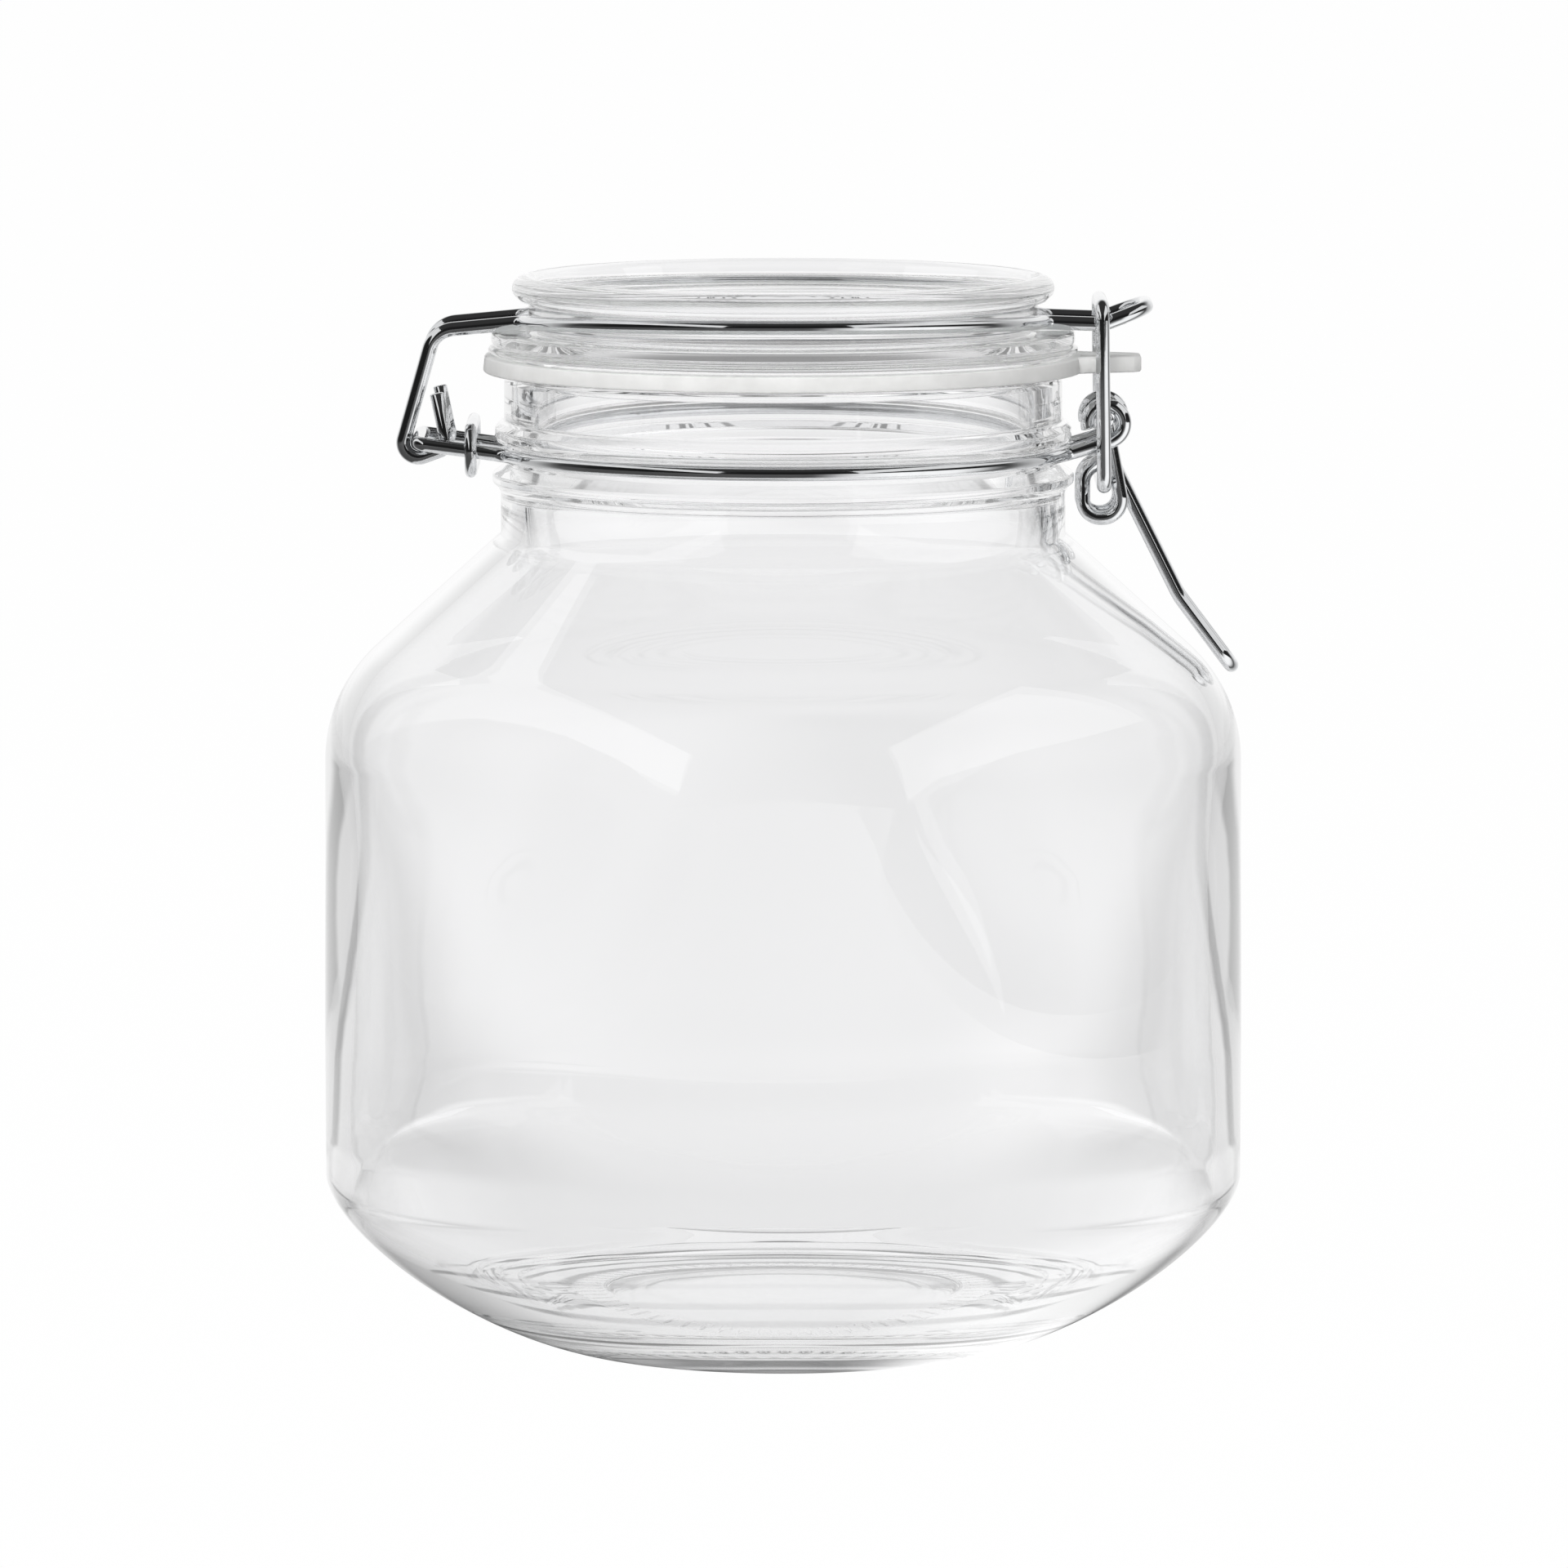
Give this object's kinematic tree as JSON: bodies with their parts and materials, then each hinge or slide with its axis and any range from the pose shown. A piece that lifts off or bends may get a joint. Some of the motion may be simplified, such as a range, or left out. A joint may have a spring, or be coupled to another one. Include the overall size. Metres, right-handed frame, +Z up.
{
  "type": "swing top bottle",
  "caption": "Square wide-mouth glass storage jar with a hinged glass lid, rubber gasket and over-centre wire clamp.",
  "frame": {"origin": "centre of the base, on the surface the jar stands on", "axes": "+Z up along the jar's axis; +X towards the clamp lever, with the hinge at -X; +Y away from the pictured side"},
  "size_m": [0.1452, 0.1452, 0.17],
  "materials": {
    "clear_glass": "gloss",
    "gasket_rubber": "matte",
    "clamp_wire": "polished"
  },
  "bodies": {
    "jar": {"glass_jar": "clear_glass", "neck_wire": "clamp_wire", "collar_clip": "clamp_wire"},
    "lid": {"glass_lid": "clear_glass", "sealing_gasket": "gasket_rubber", "lid_wire": "clamp_wire"},
    "lever": {"clamp_lever": "clamp_wire"},
    "link": {"clasp_link": "clamp_wire"}
  },
  "joints": [
    {"name": "lid_hinge", "type": "hinge", "parent": "jar", "child": "lid", "pos_m": [-0.0574, 0, 0.1442], "axis": [0, -1, 0], "range_deg": [0, 180]},
    {"name": "lever_pivot", "type": "hinge", "parent": "jar", "child": "lever", "pos_m": [0.0509, 0, 0.1477], "axis": [0, -1, 0], "range_deg": [0, 120]},
    {"name": "link_pivot", "type": "hinge", "parent": "lever", "child": "link", "pos_m": [0.0505, 0, 0.1373], "axis": [0, -1, 0], "range_deg": [-111.7, 0]}
  ],
  "couplings": [
    {"joint": "link_pivot", "follows": "lever_pivot", "ratio": -0.93}
  ]
}
